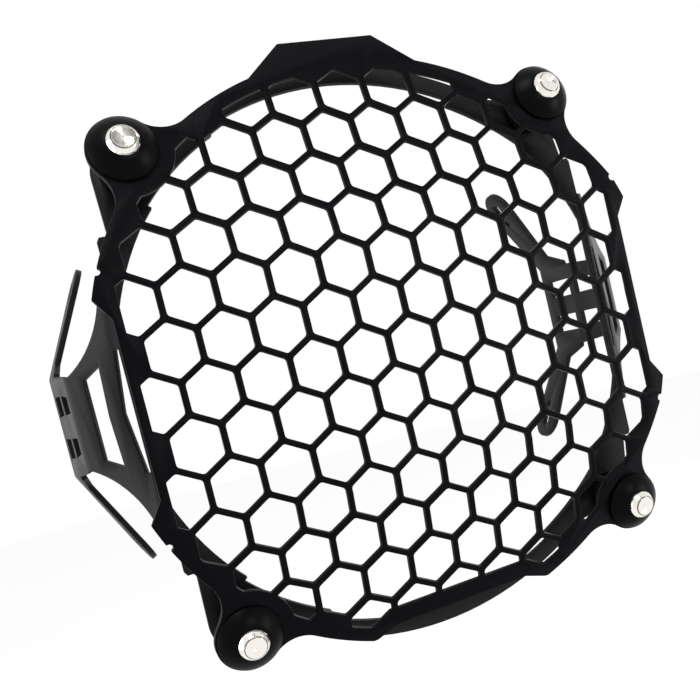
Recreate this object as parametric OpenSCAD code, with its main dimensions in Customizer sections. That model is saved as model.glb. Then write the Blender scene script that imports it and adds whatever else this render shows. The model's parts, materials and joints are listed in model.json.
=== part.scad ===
// Motorcycle headlight guard. A folded honeycomb grille stands off a folded rear
// frame on four spacers. The frame's side wings turn back along the headlight and
// end in arms that bolt to its housing. X is to the right, Z is up and the front
// faces -Y. The origin is on the front face, at the middle of the grille. Flat
// drawings are developed lengths, measured on the front face of their sheet.

/* [Sheet] */
// Thickness of the steel that the grille and the frame are cut from
sheet = 2.2; // [1.6:0.1:3]
// Height of each fold above and below the middle of the grille
fold_z = 44; // [40:1:48]
// Angle by which the top and bottom facets lean back
fold_angle = 12; // [6:1:16]
// Developed width over which a fold is rolled
fold_roll = 1.8; // [1:0.2:3]

/* [Honeycomb] */
// Distance between the centres of neighbouring cells
pitch = 18; // [16:0.5:20]
// Width of the bars between cells
bar = 2.1; // [1.6:0.1:3]
// Length that is eased off each side of a cell at its corners
corner_ease = 0.9; // [0.4:0.1:1.5]

/* [Grille rim] */
// Outer radius of the rim
rim_r = 107; // [98:1:116]
// Width of the rim
rim_w = 4.8; // [4:0.2:7]
// Depth by which a flat side is cut in from the rim's circle
side_in = 10.7; // [9:0.1:13]
// Width of the rim along its flat sides
side_w = 3; // [2.6:0.2:5]
// Half height of a flat side
side_z = 28.8; // [24:0.4:32]
// Slope of the rim's edge above and below a flat side
side_slope = 1.5; // [1.2:0.1:2]
// Depth by which the flat chin is cut in from the rim's circle
chin_in = 9.6; // [7:0.2:11]
// Width of the rim along the chin
chin_w = 6.1; // [4.5:0.1:8]
// Half width of the flat chin
chin_x = 27; // [22:1:31]
// Angle at which the rim's outer edge falls away beside the chin
chin_slant = 19; // [12:1:26]
// Half width of the window's flat edge above the chin
chin_window_x = 28.8; // [24:0.2:32]
// Angle at which the window's edge falls away beside the chin
chin_window_slant = 29; // [20:1:36]
// Height of the crown above the rim's circle
crown_h = 7; // [4:0.5:11]
// Half width of the crown's flat top
crown_x = 18; // [12:1:22]
// Half width of the crown's foot
crown_foot_x = 32; // [28:1:38]
// Depth of the relief notches at the ends of the folds
notch_d = 1.4; // [0.8:0.2:2]
// Height of a relief notch
notch_h = 2.6; // [2:0.2:4]

/* [Lugs] */
// Distance of each screw outside the rim's circle
lug_out = 7.3; // [6:0.1:8.5]
// Angle of the screws from level, as seen from the middle
lug_turn = 46.1; // [44:0.1:48]
// Radius of the grille's lugs
lug_r = 11.7; // [11.2:0.1:13]
// Radius of the fillets that blend a lug into the rim
neck_r = 12; // [8:1:16]
// Radius of the solid pad round a screw, on the inner side of the rim
pad_r = 16.2; // [15:0.2:18]

/* [Rear frame] */
// Distance between the front faces of the two sheets at the lugs
stand_off = 15; // [13:0.2:18]
// Height of the frame's folds above and below the middle
rear_fold_z = 58; // [54:1:62]
// Outer radius of the frame's ring
ring_r = 109; // [100:0.5:118]
// Width of the frame's ring
ring_w = 6.5; // [5:0.5:7.5]
// Width of the ring beside the wings
flank_w = 11.2; // [9:0.2:13]
// Width of the ring on the inner side of a lug
lobe_w = 9.6; // [8:0.2:12]
// Angle from level at which the wider flanks of the ring end
flank_end = 41.6; // [36:0.2:44]
// Angle from level at which the ring takes its narrow width
lobe_end = 62.5; // [60:0.5:70]
// Width of the ring between its window and the corner of a wing
ring_side_w = 2.3; // [2:0.1:4.5]
// Radius of the frame's lugs
rear_lug_r = 10.4; // [10:0.1:11]

/* [Wings and arms] */
// Outer radius of the bends
bend_r = 3; // [2.8:0.1:4]
// Distance of the corner where a wing turns back, inside the ring's circle
wing_in = 14.5; // [13.5:0.1:15]
// Half height of a wing at that corner
wing_z = 43; // [40:1:46]
// Length of a wing's straight top edge
wing_toe = 3.3; // [2:0.1:5]
// Radius of the curves that narrow a wing
wing_curve_r = 37.3; // [34:0.1:44]
// Angle of a wing to the front
wing_angle = 42; // [38:1:50]
// Length of a wing between the corners of its two bends
wing_l = 26; // [24:0.5:30]
// Distance from the end of a wing's first bend to its slit
slit_gap = 0.3; // [0.3:0.1:1]
// Half height of the slit
slit_z = 21; // [16:0.5:24]
// Width of the slit at its ends
slit_end_w = 1.8; // [1.4:0.1:3]
// Width of the slit at its middle
slit_mid_w = 4.7; // [3:0.1:5.5]
// Distance from the rear edge of a wing's window to its second corner
wing_bar = 7.4; // [5:0.2:9]
// Half height of the window's rear edge
wing_window_z = 14; // [10:0.5:15]
// Half height of the window's front corners
wing_window_tip_z = 17.5; // [15:0.5:19]
// Width of the window at its middle
wing_window_w = 6.6; // [5:0.2:7]
// Width of the window at its front corners
wing_window_tip_w = 7.6; // [6:0.2:8]
// Angle of a strap to the front
strap_angle = 85; // [80:1:89]
// Length of a strap from its corner to its rear edge
strap_l = 56; // [54:0.5:60]
// Half height of a strap where it leaves the wing
strap_z = 16.5; // [15:0.5:18]
// Width of the bar along the middle of a strap
strap_bar = 9; // [7:0.5:11]
// Width of a strap's upper and lower edges
strap_edge_w = 7; // [5:0.5:8]
// Width of the bar across the front of a strap
strap_front_w = 8.5; // [6:0.5:10]
// Width of the bar across the middle of a strap
strap_cross_w = 5; // [4:0.5:7]
// Width of the bar across the rear of a strap
strap_rear_w = 6.5; // [5:0.5:8]
// Height of the corner where an arm leaves the strap
arm_bend_z = 20; // [19:0.5:22]
// Distance from the strap's corner to the foot of an arm
arm_foot = 33; // [30:0.5:36]
// Distance from the strap's corner to the middle of an arm
arm_u = 53; // [50:0.5:55]
// Width of an arm
arm_w = 19; // [17:0.5:21]
// Length over which an arm narrows to its width
arm_flare = 6; // [4:0.5:10]
// Length of an arm from its corner to the middle of its round end
arm_l = 36.4; // [32:0.2:40]
// Angle by which an arm leans inwards
arm_angle = 26.5; // [20:0.5:34]
// Width of the mounting slot at an arm's end
slot_w = 4.3; // [4:0.1:5]
// Length of the mounting slot
slot_l = 8; // [7:0.5:9]
// Diameter of the small hole beside a slot
pin_hole_d = 3; // [2.5:0.1:3.5]
// Distance from the middle of a slot to the small hole
pin_gap = 7; // [6.8:0.2:9]

/* [Fasteners] */
// Nominal diameter of the screws
screw_d = 6; // [5:0.5:6]
// Diameter of a screw head
head_d = 10.5; // [10:0.5:12]
// Height of a screw head
head_h = 3.2; // [2.8:0.1:3.6]
// Diameter of the flat disc on a head
head_disc_d = 7.2; // [6:0.2:8]
// Height by which the disc stands up
head_disc_h = 0.5; // [0.3:0.1:0.8]
// Width of the flat shoulder round the disc
shoulder_w = 0.4; // [0.2:0.1:0.6]
// Depth of the lathe centre in the disc
pip_r = 0.5; // [0.3:0.1:0.8]
// Height of the straight edge of a head and of a collar
edge_h = 1; // [0.6:0.1:1.4]
// Height of a collar
collar_h = 4.8; // [4:0.2:6]
// Radius of a collar at its foot
collar_r = 11.1; // [10:0.1:11.5]
// Radius of a collar's flat top, where the head sits
collar_top_r = 5.8; // [5.6:0.1:7]
// Diameter of the spacers between the sheets
spacer_d = 16; // [14:0.5:18]
// Diameter of the washers
washer_d = 12; // [11:0.5:14]
// Thickness of the washers
washer_t = 1.6; // [1:0.1:2]
// Width of a nut across its flats
nut_af = 10; // [9:0.5:11]
// Height of a nut
nut_h = 5; // [4:0.5:6]
// Length of thread that stands out past a nut
thread_end = 2; // [1:0.5:4]
// Play between a nut and its screw, on the diameter
nut_play = 0.1; // [0.1:0.05:0.3]
// Clearance between a screw and what it passes through, on the diameter
clear = 0.4; // [0.3:0.1:0.8]

/* [Hidden] */
$fn = 96;
huge = 600;
over = 1;
side_x = rim_r - side_in;
chin_z = rim_r - chin_in;
crown_z = rim_r + crown_h;
lug_x = (rim_r + lug_out) * cos(lug_turn);
lug_z = (rim_r + lug_out) * sin(lug_turn);
wing_x = ring_r - wing_in;
rear_window_x = wing_x - ring_side_w;
cell_corner = (pitch - bar) / 2 / cos(30);
rows = ceil(rim_r / pitch / cos(30));
window_r = rim_r - rim_w;
window_x = side_x - side_w;
fold_steps = 3;
fold_step = fold_angle / fold_steps;
fold_seg = fold_roll / (fold_steps - 1);
fold_lap = 0.3;
spacer_l = stand_off - sheet;
screw_hole_d = screw_d + clear;
rear_y = (stand_off + (rear_fold_z - fold_z) * sin(fold_angle)) / cos(fold_angle);
rear_lug_z = rear_fold_z + lug_z - fold_z - rear_y * sin(fold_angle)
  - (rear_fold_z - fold_z) * cos(fold_angle);
fold_window_x = sqrt((ring_r - flank_w) * (ring_r - flank_w) - rear_fold_z * rear_fold_z);
rear_side_x = max(lug_x + rear_lug_r, fold_window_x + ring_w);
screw_l = collar_h + stand_off + sheet + washer_t + nut_h + thread_end;
wing_tangent = bend_r * tan(wing_angle / 2);
strap_turn = strap_angle - wing_angle;
strap_tangent = bend_r * tan(strap_turn / 2);
arm_tangent = bend_r * tan(arm_angle / 2);
// The angle by which a bend reaches into each plate
bend_reach = 3;
// The straight start of an arm
arm_heel = 0.4;
// What bending takes off each face and each end of the metal in a bend
bend_thin = 0.02;
neck_bite = 0.02;

// Flat parts are drawn in X and Z, and stand from one depth to the next
module upright(depth, t = sheet) {
  translate([0, depth + t, 0]) rotate([90, 0, 0]) linear_extrude(t) children();
}

// What is cut away is drawn like a flat part, and goes right through the sheet
module through(depth) {
  upright(depth - sheet, 3 * sheet) children();
}

// Turns what lies above a level line backwards
module hinge(z, depth, angle) {
  translate([0, depth, z]) rotate([-angle, 0, 0]) translate([0, -depth, -z]) children();
}

// Carries a flat part round all the steps of a fold
module bent(z, depth, count = fold_steps) {
  if (count == 0) children();
  else bent(z, depth, count - 1) hinge(z - fold_roll / 2 + (count - 1) * fold_seg, depth, fold_step)
    children();
}

// Depth and height of a fold's corner, as a number of steps from its start
function fold_corner(z, i) = i == 0 ? [0, z - fold_roll / 2]
  : fold_corner(z, i - 1) + fold_seg * [sin(i * fold_step), cos(i * fold_step)];

// Corners of the upper half of a sheet's section, at a depth inside the sheet
function section_line(z, t) = concat(
  [for (i = [0:fold_steps - 1]) let (a = (i + 0.5) * fold_step)
    fold_corner(z, i) + t / cos(fold_step / 2) * [cos(a), -sin(a)]],
  [fold_corner(z, fold_steps - 1) + rim_r * [sin(fold_angle), cos(fold_angle)]
    + t * [cos(fold_angle), -sin(fold_angle)]]);

function reversed(list) = [for (i = [len(list) - 1:-1:0]) list[i]];

// The sheet before it is cut: one section, folded back above and below
module blank(z, depth) {
  upper = concat(section_line(z, 0), reversed(section_line(z, sheet)));
  translate([-huge / 2, depth, 0]) rotate([90, 0, 90]) linear_extrude(huge)
    polygon(concat(upper, [for (p = reversed(upper)) [p.x, -p.y]]));
}

// A folded sheet. The children draw what is cut away. They read $zone, which is
// middle for the flat between the folds, fold for what lies across a fold, and
// leaning for what lies beyond it, and $side, which is 1 above and -1 below
module folded(z, depth) {
  difference() {
    blank(z, depth);
    through(depth) intersection() {
      $zone = "middle";
      $side = 0;
      children();
      square([2 * huge, 2 * (z + fold_lap)], center = true);
    }
    for (side = [-1, 1]) mirror([0, 0, side < 0 ? 1 : 0]) {
      $side = side;
      flip = side < 0 ? 1 : 0;
      hinge(z, depth, fold_angle / 2) through(depth) mirror([0, flip]) {
        $zone = "fold";
        children();
      }
      bent(z, depth) through(depth) intersection() {
        $zone = "leaning";
        mirror([0, flip]) children();
        translate([-huge, z - fold_lap]) square(2 * huge);
      }
    }
  }
}

// Places hardware on a lug, with its +Z along the screw, out of the front face
module at_lug(right, up) {
  mirror([right ? 0 : 1, 0, 0]) mirror([0, 0, up ? 0 : 1])
    bent(fold_z, 0) translate([lug_x, 0, lug_z]) rotate([90, 0, 0]) children();
}

// The fillet that fills the corner between a disc at the origin and a lug's disc.
// Its circle bites a hair into both discs
module neck(disc_r, x, z, r, turn) {
  far = sqrt(x * x + z * z);
  to_disc = disc_r + neck_r - neck_bite;
  to_lug = r + neck_r - neck_bite;
  a = acos(min(1, (far * far + to_disc * to_disc - to_lug * to_lug) / (2 * far * to_disc)));
  mid = atan2(z, x) + turn * a;
  centre = to_disc * [cos(mid), sin(mid)];
  difference() {
    polygon([[0, 0], [x, z], centre]);
    translate(centre) circle(r = neck_r);
  }
}

module four_ways() {
  for (mx = [0, 1], mz = [0, 1]) mirror([mx, 0]) mirror([0, mz]) children();
}

function cell_at(col, row) = pitch * [col + (row % 2 == 0 ? 0 : 0.5), row * cos(30)];

// Whether a cell lies wholly inside the window
function is_whole(c) =
  norm(c) + cell_corner < window_r
  && abs(c.x) + pitch / 2 < window_x
  && c.y - cell_corner > -chin_z + chin_w
  && norm([abs(c.x) - lug_x, abs(c.y) - lug_z]) > pad_r + cell_corner;

function is_in_zone(c) =
  $zone == "middle" ? abs(c.y) <= fold_z - cell_corner
  : $zone == "fold" ? abs(c.y * $side - fold_z) < cell_corner
  : c.y * $side >= fold_z + cell_corner;

// One cell: a hexagon with a point up, whose corners are eased
module cell() {
  flat = (pitch - bar) / 2;
  side = flat / cos(30);
  rotate(30) polygon([for (k = [0:5], end = [-1, 1])
    let (corner = side * [cos(60 * k), sin(60 * k)])
    corner + corner_ease * [cos(60 * k + end * 120), sin(60 * k + end * 120)]]);
}

module cells(whole) {
  for (row = [-rows:rows], col = [-rows:rows]) {
    c = cell_at(col, row);
    if (norm(c) < rim_r && abs(c.x) < side_x && is_in_zone(c) && is_whole(c) == whole)
      translate(c) cell();
  }
}

// The window that the honeycomb fills
module mesh_window() {
  difference() {
    intersection() {
      circle(r = window_r);
      square([2 * window_x, 2 * window_r], center = true);
    }
    four_ways() translate([lug_x, lug_z]) circle(r = pad_r);
    chin(chin_z - chin_w, chin_window_x, chin_window_slant);
  }
}

// What lies below a chin line, whose ends fall away
module chin(z, half, slant) {
  end = [half + rim_r, -z - rim_r * tan(slant)];
  polygon([[-half, -z], [half, -z], end, [end.x, -huge], [-end.x, -huge], [-end.x, end.y]]);
}

module grille_outline() {
  difference() {
    circle(r = rim_r);
    for (mx = [0, 1]) mirror([mx, 0])
      polygon([[side_x, side_z], [side_x + rim_r, side_z + rim_r * side_slope],
        [side_x + rim_r, -side_z - rim_r * side_slope], [side_x, -side_z]]);
    chin(chin_z, chin_x, chin_slant);
  }
  crown_foot_z = sqrt(rim_r * rim_r - crown_foot_x * crown_foot_x);
  polygon([[-crown_foot_x, crown_foot_z - rim_w], [crown_foot_x, crown_foot_z - rim_w],
    [crown_foot_x, crown_foot_z], [crown_x, crown_z], [-crown_x, crown_z],
    [-crown_foot_x, crown_foot_z]]);
  four_ways() {
    translate([lug_x, lug_z]) circle(r = lug_r);
    for (turn = [-1, 1]) neck(rim_r, lug_x, lug_z, lug_r, turn);
  }
}

module outside() {
  difference() {
    square(2 * huge, center = true);
    children();
  }
}

module grille_waste() {
  cells(true);
  intersection() {
    cells(false);
    mesh_window();
  }
  if ($zone == "fold") {
    rim_x = sqrt(rim_r * rim_r - fold_z * fold_z);
    four_ways() translate([rim_x - notch_d + notch_h / 2, fold_z]) circle(d = notch_h);
  } else {
    outside() grille_outline();
    four_ways() translate([lug_x, lug_z]) circle(d = screw_hole_d);
  }
}

module front_grille() {
  color("#26262c") folded(fold_z, 0) grille_waste();
}

// What lies further from level than an angle, as seen from the middle
module above(angle) {
  for (mz = [0, 1]) mirror([0, mz])
    polygon([[0, 0], huge * [cos(angle), sin(angle)], [0, 2 * huge], huge * [-cos(angle), sin(angle)]]);
}

// The ring is widest on its flanks, and narrowest above and below
module rear_window() {
  intersection() {
    square([2 * rear_window_x, huge], center = true);
    union() {
      circle(r = ring_r - flank_w);
      intersection() {
        circle(r = ring_r - lobe_w);
        above(flank_end);
      }
      intersection() {
        circle(r = ring_r - ring_w);
        above(lobe_end);
      }
    }
  }
}

module rear_outline() {
  half = $zone == "middle" ? wing_x - wing_tangent : rear_side_x;
  intersection() {
    circle(r = ring_r);
    square([2 * half, huge], center = true);
  }
  if ($zone == "leaning") four_ways() {
    translate([lug_x, rear_lug_z]) circle(r = rear_lug_r);
    translate([lug_x, rear_fold_z - over]) square([rear_lug_r, rear_lug_z - rear_fold_z + over]);
    neck(ring_r, lug_x, rear_lug_z, rear_lug_r, 1);
  }
}

module rear_waste() {
  if ($zone != "fold") {
    outside() rear_outline();
    difference() {
      rear_window();
      four_ways() translate([lug_x, rear_lug_z]) circle(r = rear_lug_r);
    }
    four_ways() translate([lug_x, rear_lug_z]) circle(d = screw_hole_d);
  }
}

module rear_frame() {
  color("#33343a") {
    folded(rear_fold_z, rear_y) rear_waste();
    for (mx = [0, 1]) mirror([mx, 0, 0])
      translate([wing_x, rear_y, 0]) turned(wing_angle, -wing_z, wing_z) wing_and_strap();
  }
}

// A bend between two plates whose front faces meet in a corner on the Z axis. The
// first plate comes along X, and the second is turned from it towards +Y. The bend
// is a hair thinner than the plates and reaches a little way into both, so that
// the three are one
module turned(angle, low, high) {
  translate([-bend_r * tan(angle / 2), bend_r, low + bend_thin]) rotate([0, 0, -90 - bend_reach])
    rotate_extrude(angle = angle + 2 * bend_reach)
    translate([bend_r - sheet + bend_thin, 0])
    square([sheet - 2 * bend_thin, high - low - 2 * bend_thin]);
  rotate([0, 0, angle]) children();
}

// The centre of the arc of radius r that bulges to the left on its way from p to q
function arc_centre(p, q, r) =
  let (d = q - p, h = sqrt(r * r - d * d / 4)) (p + q) / 2 + h * [-d.y, d.x] / norm(d);

// Sizes along a wing, strap or arm are measured from the corner it starts at
module wing_flat() {
  curve = arc_centre([wing_toe, wing_z], [wing_l - strap_tangent, strap_z], wing_curve_r);
  slit_u = wing_tangent + slit_gap;
  window_u = wing_l - wing_bar;
  difference() {
    translate([wing_tangent, -wing_z]) square([wing_l - strap_tangent - wing_tangent, 2 * wing_z]);
    for (m = [0, 1]) mirror([0, m]) translate(curve) circle(r = wing_curve_r);
    polygon([[slit_u, -slit_z], [slit_u, slit_z], [slit_u + slit_end_w, slit_z],
      [slit_u + slit_mid_w, 0], [slit_u + slit_end_w, -slit_z]]);
    polygon([[window_u, -wing_window_z], [window_u, wing_window_z],
      [window_u - wing_window_tip_w, wing_window_tip_z], [window_u - wing_window_w, 0],
      [window_u - wing_window_tip_w, -wing_window_tip_z]]);
  }
}

function strap_half(u) = strap_z + (arm_bend_z - arm_tangent - strap_z) * min(u / arm_foot, 1);

module strap_window(from, to) {
  for (m = [0, 1]) mirror([0, m])
    polygon([[from, strap_bar / 2], [to, strap_bar / 2], [to, strap_half(to) - strap_edge_w],
      [from, strap_half(from) - strap_edge_w]]);
}

module strap_flat() {
  window_l = (strap_l - strap_front_w - strap_cross_w - strap_rear_w) / 2;
  difference() {
    for (m = [0, 1]) mirror([0, m])
      polygon([[strap_tangent, 0], [strap_tangent, strap_half(strap_tangent)],
        [arm_foot, strap_half(arm_foot)], [strap_l, strap_half(strap_l)], [strap_l, 0]]);
    strap_window(strap_front_w, strap_front_w + window_l);
    strap_window(strap_l - strap_rear_w - window_l, strap_l - strap_rear_w);
  }
}

module arm_flat() {
  side = arm_w / 2;
  foot_z = arm_tangent + arm_heel;
  difference() {
    union() {
      polygon([[arm_foot, arm_tangent], [arm_foot, foot_z], [arm_u - side, arm_flare],
        [arm_u - side, arm_l], [arm_u + side, arm_l], [strap_l, foot_z], [strap_l, arm_tangent]]);
      translate([arm_u, arm_l]) circle(r = side);
    }
    translate([arm_u, arm_l]) {
      for (end = [-1, 1]) translate([0, end * (slot_l - slot_w) / 2]) circle(d = slot_w);
      square([slot_w, slot_l - slot_w], center = true);
    }
    translate([arm_u, arm_l - pin_gap]) circle(d = pin_hole_d);
  }
}

module wing_and_strap() {
  upright(0) wing_flat();
  translate([wing_l, 0, 0]) turned(strap_turn, -strap_half(0), strap_half(0)) {
    upright(0) strap_flat();
    for (m = [0, 1]) mirror([0, 0, m]) translate([0, 0, arm_bend_z]) rotate([0, -90, 0])
      turned(arm_angle, -strap_l, -arm_foot) rotate([0, 90, 0]) upright(0) arm_flat();
  }
}

// Half of a turned dome, with a straight edge at its foot and a flat top
module dome_profile(foot_r, top_r, h) {
  centre_z = (top_r * top_r + h * h - foot_r * foot_r - edge_h * edge_h) / 2 / (h - edge_h);
  intersection() {
    square([foot_r, h]);
    translate([0, centre_z]) circle(r = norm([foot_r, edge_h - centre_z]));
  }
}

module collar() {
  color("#0c0c0e") difference() {
    rotate_extrude() dome_profile(collar_r, collar_top_r, collar_h);
    translate([0, 0, -over]) cylinder(d = screw_hole_d, h = collar_h + 2 * over);
  }
}

module spacer() {
  color("#18181a") translate([0, 0, -stand_off]) difference() {
    cylinder(d = spacer_d, h = spacer_l);
    translate([0, 0, -over]) cylinder(d = screw_hole_d, h = spacer_l + 2 * over);
  }
}

// The head shows a flat turned disc, with the pip of the lathe centre in it
module screw() {
  color("#d8dadc") translate([0, 0, collar_h]) difference() {
    union() {
      rotate_extrude() dome_profile(head_d / 2, head_disc_d / 2 + shoulder_w, head_h - head_disc_h);
      cylinder(d = head_disc_d, h = head_h);
      translate([0, 0, -screw_l]) cylinder(d = screw_d, h = screw_l);
    }
    translate([0, 0, head_h - pip_r]) cylinder(r1 = 0, r2 = 2 * pip_r, h = 2 * pip_r);
  }
}

module all_lugs() {
  for (right = [false, true], up = [false, true]) at_lug(right, up) children();
}

module washers() {
  color("#b8babd") all_lugs() translate([0, 0, -stand_off - sheet - washer_t]) difference() {
    cylinder(d = washer_d, h = washer_t);
    translate([0, 0, -over]) cylinder(d = screw_hole_d, h = washer_t + 2 * over);
  }
}

module nuts() {
  color("#c4c6c8") all_lugs()
    translate([0, 0, -stand_off - sheet - washer_t - nut_h]) difference() {
      cylinder(d = nut_af / cos(30), h = nut_h, $fn = 6);
      translate([0, 0, -over]) cylinder(d = screw_d + nut_play, h = nut_h + 2 * over);
    }
}

module screws() { all_lugs() screw(); }

front_grille();
rear_frame();
at_lug(false, true) collar();  // collar_top_left
at_lug(true, true) collar();  // collar_top_right
at_lug(false, false) collar();  // collar_bottom_left
at_lug(true, false) collar();  // collar_bottom_right
at_lug(false, true) spacer();  // spacer_top_left
at_lug(true, true) spacer();  // spacer_top_right
at_lug(false, false) spacer();  // spacer_bottom_left
at_lug(true, false) spacer();  // spacer_bottom_right
screws();
washers();
nuts();
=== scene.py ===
"""Looks of a motorcycle headlight guard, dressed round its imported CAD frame."""

import json
import logging
import math
from dataclasses import dataclass, field
from enum import Enum
from typing import Callable, Iterable

import bmesh
import bpy
from mathutils import Matrix, Vector

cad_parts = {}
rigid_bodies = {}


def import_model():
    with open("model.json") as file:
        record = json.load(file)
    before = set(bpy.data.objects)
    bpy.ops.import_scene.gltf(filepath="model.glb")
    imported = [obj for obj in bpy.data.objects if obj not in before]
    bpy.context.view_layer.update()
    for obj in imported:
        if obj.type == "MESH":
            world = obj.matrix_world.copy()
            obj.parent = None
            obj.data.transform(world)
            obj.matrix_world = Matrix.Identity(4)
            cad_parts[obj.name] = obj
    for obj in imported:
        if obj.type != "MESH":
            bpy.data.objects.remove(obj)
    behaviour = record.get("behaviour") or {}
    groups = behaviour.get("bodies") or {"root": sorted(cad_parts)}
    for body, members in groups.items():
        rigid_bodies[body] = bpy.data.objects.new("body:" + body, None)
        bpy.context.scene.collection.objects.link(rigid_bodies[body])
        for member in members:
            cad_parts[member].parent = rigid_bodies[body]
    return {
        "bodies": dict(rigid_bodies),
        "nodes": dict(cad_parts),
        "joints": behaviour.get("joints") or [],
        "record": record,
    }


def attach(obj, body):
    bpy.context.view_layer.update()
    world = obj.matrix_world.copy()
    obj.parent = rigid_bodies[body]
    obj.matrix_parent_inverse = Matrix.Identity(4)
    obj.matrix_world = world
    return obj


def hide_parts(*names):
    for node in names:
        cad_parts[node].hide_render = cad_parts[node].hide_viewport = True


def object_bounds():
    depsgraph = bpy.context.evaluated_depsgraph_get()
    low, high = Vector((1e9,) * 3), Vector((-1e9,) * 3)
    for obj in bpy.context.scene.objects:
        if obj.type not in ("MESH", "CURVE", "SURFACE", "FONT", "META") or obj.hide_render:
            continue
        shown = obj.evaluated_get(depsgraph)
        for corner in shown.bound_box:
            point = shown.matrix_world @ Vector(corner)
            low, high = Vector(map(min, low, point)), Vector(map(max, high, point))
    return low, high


LOG = logging.getLogger("headlight_guard")
ROOT = "root"

# A millimetre, and how close points are one and how thin a face is a sliver, all in metres
MM = 0.001
SAME_SPOT = 1e-7
SLIVER = 1e-6

# Broken edges, in millimetres and degrees, and the angles past which shading keeps an edge
EDGE_W = 0.24
EDGE_STEPS = 2
EDGE_ANGLE = 32.0
SMOOTH_ANGLE = 34.0
TURNED_ANGLE = 40.0

# Half the angle between two corners of a hexagon
HALF_CORNER = math.radians(30)


class Side(Enum):
    """A side of the guard, as seen from the front."""

    LEFT = -1
    RIGHT = 1


class Level(Enum):
    """The upper or the lower lugs."""

    TOP = 1
    BOTTOM = -1


class Field:
    """A number in a node tree. Python's operators on it become Math nodes."""

    def __init__(self, tree: bpy.types.NodeTree, socket: bpy.types.NodeSocket) -> None:
        """Wraps an output socket of a tree."""
        self.tree = tree
        self.socket = socket

    def math(self, operation: str, *others: "Field | float") -> "Field":
        """Adds one Math node.

        Args:
            operation: Name of the Math node's operation.
            others: The operands after this one.

        Returns:
            The node's result.
        """
        node = self.tree.nodes.new("ShaderNodeMath")
        node.operation = operation
        for place, operand in enumerate((self, *others)):
            if isinstance(operand, Field):
                self.tree.links.new(operand.socket, node.inputs[place])
            else:
                node.inputs[place].default_value = operand
        return Field(self.tree, node.outputs[0])

    def __add__(self, other: "Field | float") -> "Field":
        """Sum."""
        return self.math("ADD", other)

    def __sub__(self, other: "Field | float") -> "Field":
        """Difference."""
        return self.math("SUBTRACT", other)

    def __mul__(self, other: "Field | float") -> "Field":
        """Product."""
        return self.math("MULTIPLY", other)

    def __truediv__(self, other: "Field | float") -> "Field":
        """Quotient."""
        return self.math("DIVIDE", other)


class Tree:
    """A node tree that is written line by line."""

    def __init__(self, tree: bpy.types.NodeTree) -> None:
        """Wraps a tree."""
        self.tree = tree

    def node(self, kind: str, options: dict | None = None, **inputs: object) -> bpy.types.Node:
        """Adds a node.

        Args:
            kind: The node's type.
            options: Settings of the node itself.
            inputs: Values or links for its sockets, with _ for a space in a name.

        Returns:
            The new node.
        """
        node = self.tree.nodes.new(kind)
        for name, value in (options or {}).items():
            setattr(node, name, value)
        for name, value in inputs.items():
            self.feed(node.inputs[name.replace("_", " ")], value)
        return node

    def feed(self, socket: bpy.types.NodeSocket, value: object) -> None:
        """Sets a socket to a value, or links something to it.

        Args:
            socket: The input.
            value: A plain value, a Field or an output.
        """
        if isinstance(value, Field):
            self.tree.links.new(value.socket, socket)
        elif isinstance(value, bpy.types.NodeSocket):
            self.tree.links.new(value, socket)
        else:
            socket.default_value = value

    def field(self, socket: bpy.types.NodeSocket) -> Field:
        """The number that a socket gives."""
        return Field(self.tree, socket)


class GeometryTree(Tree):
    """A Geometry Nodes tree with named inputs, run once on an object."""

    SOCKETS = {float: "NodeSocketFloat", int: "NodeSocketInt"}

    def __init__(self, name: str, inputs: dict[str, object]) -> None:
        """Makes the tree.

        Args:
            name: Name of the tree.
            inputs: Its named inputs, with the value that each is set to.
        """
        super().__init__(bpy.data.node_groups.new(name, "GeometryNodeTree"))
        face = self.tree.interface
        face.new_socket("Geometry", in_out="INPUT", socket_type="NodeSocketGeometry")
        self.values: dict[str, object] = {}
        for label, value in inputs.items():
            kind = self.SOCKETS.get(type(value), "NodeSocket" + type(value).__name__)
            socket = face.new_socket(label, in_out="INPUT", socket_type=kind)
            self.values[socket.identifier] = value
        face.new_socket("Geometry", in_out="OUTPUT", socket_type="NodeSocketGeometry")
        self.group_in = self.tree.nodes.new("NodeGroupInput")
        self.group_out = self.tree.nodes.new("NodeGroupOutput")

    def given(self, label: str) -> Field:
        """The named input of the tree."""
        return self.field(self.group_in.outputs[label])

    def finish(self, geometry: bpy.types.NodeSocket) -> None:
        """Ends the tree in real meshes that carry the material.

        Args:
            geometry: The output that holds the finished shape.
        """
        real = self.node("GeometryNodeRealizeInstances", Geometry=geometry)
        dressed = self.node("GeometryNodeSetMaterial", Geometry=real.outputs[0])
        self.feed(dressed.inputs["Material"], self.given("Material"))
        self.tree.links.new(dressed.outputs[0], self.group_out.inputs[0])

    def run(self, piece: bpy.types.Object) -> None:
        """Runs the tree on an object and keeps the result as its mesh.

        Args:
            piece: The object. No modifier is left on it.
        """
        modifier = piece.modifiers.new(self.tree.name, "NODES")
        modifier.node_group = self.tree
        for identifier, value in self.values.items():
            modifier[identifier] = value
        bake_modifiers(piece)


def bake_modifiers(piece: bpy.types.Object) -> None:
    """Makes what a piece's modifiers give its plain mesh.

    Args:
        piece: The piece. No modifier is left on it.
    """
    graph = bpy.context.evaluated_depsgraph_get()
    graph.update()
    mesh = bpy.data.meshes.new_from_object(piece.evaluated_get(graph), depsgraph=graph)
    piece.modifiers.clear()
    piece.data = mesh


def new_piece(name: str, mesh: bpy.types.Mesh) -> bpy.types.Object:
    """Puts a mesh into the scene as an object at the origin.

    Args:
        name: Name of the object.
        mesh: Its mesh.

    Returns:
        The object.
    """
    piece = bpy.data.objects.new(name, mesh)
    bpy.context.scene.collection.objects.link(piece)
    return piece


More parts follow.
